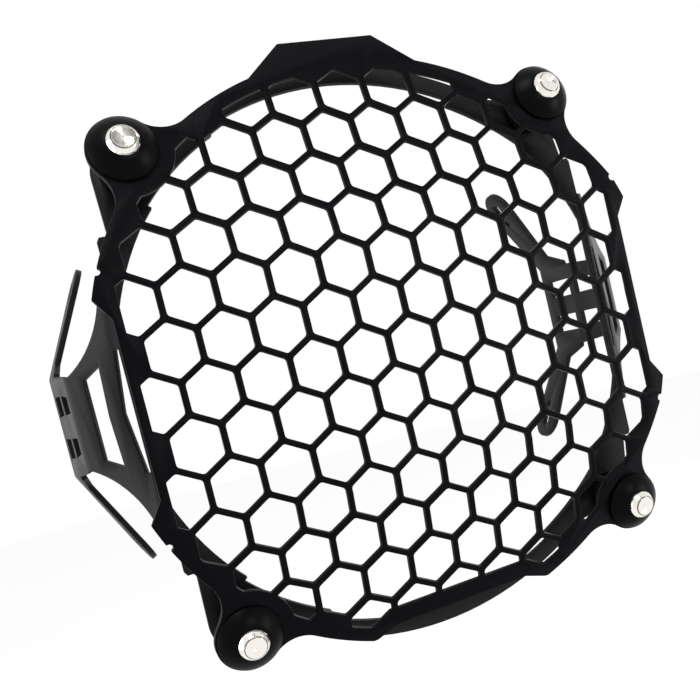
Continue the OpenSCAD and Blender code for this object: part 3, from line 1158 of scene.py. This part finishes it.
@dataclass
class Hardware:
    """Something that stands alike on all four lugs."""

    name: str
    lugs: Lugs
    material: bpy.types.Material

    def tree(self) -> GeometryTree:
        """The tree that stands the input mesh on the four lugs.

        Returns:
            The tree, which runs on the mesh of one of the four.
        """
        place = self.lugs.place(Side.RIGHT, Level.TOP).translation
        tree = GeometryTree(self.name, {
            "Half width": place.x,
            "Half height": place.z,
            "Depth": place.y,
            "Lean": math.radians(self.lugs.fold_angle),
            "Material": self.material,
        })
        spots = tree.node(
            "GeometryNodeMeshGrid",
            Size_X=tree.given("Half width") * 2.0, Size_Y=tree.given("Half height") * 2.0,
            Vertices_X=2, Vertices_Y=2,
        )
        spot = tree.node("ShaderNodeSeparateXYZ", Vector=tree.node("GeometryNodeInputPosition").outputs[0])
        stood = tree.node(
            "ShaderNodeCombineXYZ", X=spot.outputs["X"], Y=tree.given("Depth"), Z=spot.outputs["Y"]
        )
        points = tree.node(
            "GeometryNodeSetPosition", Geometry=spots.outputs["Mesh"], Position=stood.outputs[0]
        )
        where = tree.node("ShaderNodeSeparateXYZ", Vector=tree.node("GeometryNodeInputPosition").outputs[0])
        lean = (tree.field(where.outputs["Z"]).math("SIGN") * tree.given("Lean") * -1.0) + math.pi / 2
        turn = tree.node("ShaderNodeCombineXYZ", X=lean)
        many = tree.node(
            "GeometryNodeInstanceOnPoints",
            Points=points.outputs[0], Instance=tree.group_in.outputs["Geometry"], Rotation=turn.outputs[0],
        )
        tree.finish(many.outputs[0])
        return tree

    def build(self, mesh: bpy.types.Mesh) -> bpy.types.Object:
        """Makes the piece.

        Args:
            mesh: The mesh of one of the four, in the screw's own frame.

        Returns:
            The finished piece.
        """
        piece = new_piece(self.name, mesh)
        self.tree().run(piece)
        smooth(piece, TURNED_ANGLE)
        return piece


@dataclass(frozen=True)
class Camera:
    """The photo's view of the guard, in metres and degrees."""

    place: tuple[float, float, float] = (-0.11752113, -0.26299272, 0.00033934)
    turn: tuple[float, float, float] = (86.27996, 13.75736, -21.5597)
    lens: float = 42.3354
    shift: tuple[float, float] = (-0.042119, 0.076598)
    reach: tuple[float, float] = (0.01, 100.0)

    def build(self) -> None:
        """Makes the scene's camera."""
        data = bpy.data.cameras.new("Photo view")
        data.lens = self.lens
        data.shift_x, data.shift_y = self.shift
        data.clip_start, data.clip_end = self.reach
        camera = bpy.data.objects.new("Photo view", data)
        camera.location = self.place
        camera.rotation_euler = [math.radians(a) for a in self.turn]
        bpy.context.scene.collection.objects.link(camera)
        bpy.context.scene.camera = camera


@dataclass(frozen=True)
class DarkCard:
    """A black card in front of the guard. It only shows as a dark patch in bright metal."""

    place: tuple[float, float, float] = (0.044, -0.667, 0.674)
    size: tuple[float, float] = (0.5, 0.34)
    grey: float = 0.01

    def build(self, target: Vector) -> bpy.types.Object:
        """Makes the card, which takes none of the guard's light.

        Args:
            target: The spot that it faces.

        Returns:
            The card.
        """

        def draw(shape: bmesh.types.BMesh) -> None:
            """Draws the flat card."""
            bmesh.ops.create_grid(shape, x_segments=1, y_segments=1, size=0.5)
            shape.transform(Matrix.Diagonal((*self.size, 1, 1)))

        turn = (target - Vector(self.place)).to_track_quat("Z", "Y").to_matrix().to_4x4()
        mesh = mesh_from("Dark card", draw)
        mesh.transform(Matrix.Translation(self.place) @ turn)
        card = new_piece("Dark_card", mesh)
        surface = Surface("Black card", 1.0)
        surface.plain((self.grey,) * 3)
        card.data.materials.append(surface.material)
        card.visible_camera = card.visible_diffuse = card.visible_shadow = False
        return card


@dataclass(frozen=True)
class SoftBox:
    """A large soft light that faces the middle of the guard."""

    name: str
    place: tuple[float, float, float]
    size: tuple[float, float]
    power: float

    def build(self, target: Vector) -> bpy.types.Object:
        """Makes the light.

        Args:
            target: The spot that it faces.

        Returns:
            The light.
        """
        data = bpy.data.lights.new(self.name, "AREA")
        data.shape = "RECTANGLE"
        data.size, data.size_y = self.size
        data.energy = self.power
        light = bpy.data.objects.new(self.name, data)
        light.location = self.place
        light.rotation_euler = (target - Vector(self.place)).to_track_quat("-Z", "Y").to_euler()
        bpy.context.scene.collection.objects.link(light)
        return light


def seen_as_background(tree: Tree) -> Field:
    """Tells the rays that show the background from those that light the guard.

    Args:
        tree: The tree that it is for.

    Returns:
        1 for a ray seen straight, in a mirror or through glass, and 0 for the others.
    """
    path = tree.node("ShaderNodeLightPath").outputs
    straight, mirrored, through = (
        tree.field(path[f"Is {kind} Ray"]) for kind in ("Camera", "Glossy", "Transmission")
    )
    return straight.math("MAXIMUM", mirrored).math("MAXIMUM", through)


def mix_shaders(
    tree: Tree, share: Field, first: bpy.types.NodeSocket, second: bpy.types.NodeSocket
) -> bpy.types.NodeSocket:
    """Mixes two shaders.

    Args:
        tree: The tree that they are in.
        share: The second one's share.
        first: The first shader.
        second: The second shader.

    Returns:
        The mixed shader.
    """
    mix = tree.node("ShaderNodeMixShader")
    for place, value in enumerate((share, first, second)):
        tree.feed(mix.inputs[place], value)
    return mix.outputs[0]


@dataclass
class Studio:
    """A white room with soft boxes and a pale floor."""

    boxes: tuple[SoftBox, ...] = (
        SoftBox("Left box", (-0.5, 0.12, 0.02), (0.3, 0.5), 1.6),
        SoftBox("High box", (-0.35, -0.75, 1.35), (0.8, 0.5), 12.0),
        SoftBox("Low right box", (0.95, -0.75, -0.12), (0.4, 0.6), 4.5),
        SoftBox("Right rear box", (1.0, 0.8, 0.3), (0.6, 0.9), 3.0),
        SoftBox("Front card", (0.25, -1.1, 0.35), (0.3, 0.3), 2.0),
    )
    card: DarkCard = DarkCard()
    floor_drop: float = 0.25
    floor_r: float = 3.0
    floor_grey: float = 0.8
    floor_roughness: float = 0.9
    floor_glow: float = 1.3
    glow_share: float = 0.7
    room: float = 0.15

    def world(self) -> None:
        """A soft room that looks white to the camera and in bright metal."""
        world = bpy.data.worlds.new("White room")
        world.use_nodes = True
        bpy.context.scene.world = world
        tree = Tree(world.node_tree)
        world.node_tree.nodes.clear()
        soft = tree.node("ShaderNodeBackground", Color=(1, 1, 1, 1), Strength=self.room)
        white = tree.node("ShaderNodeBackground", Color=(1, 1, 1, 1), Strength=1.0)
        mixed = mix_shaders(tree, seen_as_background(tree), soft.outputs[0], white.outputs[0])
        tree.node("ShaderNodeOutputWorld", Surface=mixed)

    def floor(self, low: float) -> bpy.types.Object:
        """Makes a pale floor under the guard, whose glow leaves part of its lit surface in view.

        Args:
            low: Height of the guard's lowest point.

        Returns:
            The floor.
        """
        surface = Surface("Pale floor", self.floor_roughness)
        surface.plain((self.floor_grey,) * 3)
        tree = surface.tree
        glow = tree.node("ShaderNodeEmission", Color=(1, 1, 1, 1), Strength=self.floor_glow)
        share = seen_as_background(tree) * self.glow_share
        surface.show(mix_shaders(tree, share, surface.shader.outputs[0], glow.outputs[0]))

        def build(shape: bmesh.types.BMesh) -> None:
            """Draws the disc of the floor."""
            bmesh.ops.create_circle(shape, cap_ends=True, segments=64, radius=self.floor_r)

        floor = new_piece("Pale_floor", mesh_from("Pale floor", build))
        floor.location.z = low - self.floor_drop
        floor.data.materials.append(surface.material)
        return floor

    def build(self, bounds: tuple[Vector, Vector]) -> list[bpy.types.Object]:
        """Makes the room.

        Args:
            bounds: The guard's lowest and highest corners.

        Returns:
            The objects that aren't part of the guard.
        """
        self.world()
        low, high = bounds
        middle = (low + high) / 2
        staged = [box.build(middle) for box in self.boxes]
        staged += [self.floor(low.z), self.card.build(middle)]
        return staged


@dataclass
class HeadlightGuard:
    """The whole guard."""

    lugs: Lugs = field(default_factory=Lugs)
    sizes: Fastening = field(default_factory=Fastening)
    finishes: Finishes = field(default_factory=Finishes)

    def collar(self) -> list[tuple[float, float]]:
        """The section of a collar.

        Returns:
            Its closed run of points.
        """
        s = self.sizes
        dome = s.dome(s.collar_r, s.collar_top_r, s.collar_h, s.collar_steps)
        foot = [(s.hole_r, 0.0), (s.collar_r - s.collar_ease, 0.0), (s.collar_r, s.collar_ease)]
        return foot + dome + [(s.hole_r, s.collar_h)]

    def spacer(self) -> list[tuple[float, float]]:
        """The section of a spacer."""
        s = self.sizes
        return self.tube(s.spacer_r, -self.lugs.stand_off, -self.lugs.sheet, s.spacer_ease)

    def tube(self, radius: float, foot: float, top: float, ease: float) -> list[tuple[float, float]]:
        """The section of a plain tube round the screw, with its outer corners eased."""
        outside = [(radius - ease, foot), (radius, foot + ease), (radius, top - ease), (radius - ease, top)]
        return [(self.sizes.hole_r, foot)] + outside + [(self.sizes.hole_r, top)]

    def screw(self) -> list[tuple[float, float]]:
        """The section of a screw: its domed head, flat turned disc and thread.

        Returns:
            Its run of points, from the axis at the foot to the axis at the top.
        """
        s = self.sizes
        base, foot = s.collar_h, s.collar_h - s.screw_l
        shoulder = base + s.head_h - s.disc_h
        top = base + s.head_h
        rim = s.dome(s.head_r, s.disc_r + s.shoulder_w, s.head_h - s.disc_h, s.head_steps)
        dome = [(r, base + z) for r, z in rim]
        thread, z = [], foot + s.screw_ease
        while z < foot + s.thread_l:
            thread.append((s.screw_r - s.thread_d, z))
            thread += [(s.screw_r, z + s.thread * share) for share in s.crest]
            z += s.thread
        disc = [(s.disc_r, shoulder), (s.disc_r, top - s.disc_ease), (s.disc_r - s.disc_ease, top)]
        pip = [(s.pip_r, top), (0.0, top - s.pip_d)]
        shank = [(0.0, foot), (s.screw_r - s.screw_ease, foot)] + thread
        shank += [(s.screw_r, z), (s.screw_r, base), (s.head_r, base)]
        return shank + dome + disc + pip

    def washer(self) -> list[tuple[float, float]]:
        """The section of a washer."""
        s, top = self.sizes, -self.lugs.stand_off - self.lugs.sheet
        return self.tube(s.washer_r, top - s.washer_t, top, s.washer_ease)

    def nut(self) -> bpy.types.Mesh:
        """A six-sided nut with its outer corners turned off.

        Returns:
            The mesh, in the screw's own frame.
        """
        s = self.sizes
        top = -self.lugs.stand_off - self.lugs.sheet - s.washer_t
        foot, corner = top - s.nut_h, s.nut_af / 2 / math.cos(HALF_CORNER)

        def build(shape: bmesh.types.BMesh) -> None:
            """Draws rings up the outside and down the bore, and the faces between them.

            Args:
                shape: The bmesh to draw into.
            """
            sides = s.fixing_turns
            turns = [2 * math.pi * k / sides for k in range(sides)]
            flats = [s.nut_af / 2 / math.cos((a % (math.pi / 3)) - math.pi / 6) for a in turns]
            eased, rise = s.nut_af / 2 - s.nut_ease, s.nut_corner_h
            caps = ((foot, eased), (foot + rise, corner), (top - rise, corner), (top, eased))
            rings = [[(min(flat, cap), a, z) for flat, a in zip(flats, turns)] for z, cap in caps]
            rings += [[(s.screw_r + s.nut_play, a, z) for a in turns] for z in (top, foot)]
            made = [
                [shape.verts.new((r * MM * math.cos(a), r * MM * math.sin(a), z * MM)) for r, a, z in ring]
                for ring in rings
            ]
            for low, high in zip(made, made[1:] + made[:1]):
                for k in range(sides):
                    after = (k + 1) % sides
                    shape.faces.new((low[k], low[after], high[after], high[k]))

        return mesh_from("Nut", build)

    def turned_r(self, mesh: bpy.types.Mesh) -> bpy.types.Mesh:
        """Stores how far each point lies from the axis it was turned about.

        Args:
            mesh: The turned mesh.

        Returns:
            The same mesh, with the attribute on it.
        """
        spread = mesh.attributes.new("turned_r", "FLOAT", "POINT")
        spread.data.foreach_set("value", [math.hypot(v.co.x, v.co.y) for v in mesh.vertices])
        return mesh

    def build(self, nodes: dict[str, bpy.types.Object]) -> None:
        """Builds every piece and lets it ride on the frame.

        Args:
            nodes: The CAD nodes of the frame.
        """
        looks = self.finishes
        grille_coat, frame_coat = looks.grille.material(), looks.frame.material()
        collar, spacer = looks.collar.material(), looks.spacer.material()
        screw, fixing = looks.screw.material(), looks.fixing.material()

        self.hand_over(HoneycombGrille(self.lugs, grille_coat).build(), "grille_coat", "front_grille")
        self.hand_over(RearFrame(frame_coat).build(nodes["rear_frame"]), "frame_coat", "rear_frame")
        for side, level in self.lugs.everywhere():
            place = self.lugs.place(side, level)
            where = f"{level.name.lower()}_{side.name.lower()}"
            for kind, profile, material in (
                ("collar", self.collar(), collar),
                ("spacer", self.spacer(), spacer),
            ):
                piece = TurnedPiece(f"{kind.capitalize()}_{where}", profile, material).build(place)
                self.hand_over(piece, kind, f"{kind}_{where}")
        turned = self.turned_r(mesh_from("Screw", lathe(self.screw())))
        washer = mesh_from("Washer", lathe(self.washer(), self.sizes.fixing_turns))
        for slot, mesh, material in (
            ("screw", turned, screw),
            ("washer", washer, fixing),
            ("nut", self.nut(), fixing),
        ):
            piece = Hardware(f"{slot.capitalize()}s", self.lugs, material).build(mesh)
            self.hand_over(piece, slot, f"{slot}s")

    def hand_over(self, piece: bpy.types.Object, slot: str, node: str) -> None:
        """Puts a finished piece on the frame in place of a CAD node.

        Args:
            piece: The piece.
            slot: Name of its material slot in the record, which is not used.
            node: The CAD node's name.
        """
        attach(piece, ROOT)
        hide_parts(node)
        LOG.info("%s stands for %s with %d faces", piece.name, node, len(piece.data.polygons))


def main() -> None:
    """Builds the scene."""
    logging.basicConfig(level=logging.INFO)
    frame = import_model()
    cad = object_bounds()
    HeadlightGuard().build(frame["nodes"])
    Camera().build()
    bpy.context.scene.view_settings.view_transform = "Standard"
    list(Studio().build(cad))


if __name__ == "__main__":
    main()
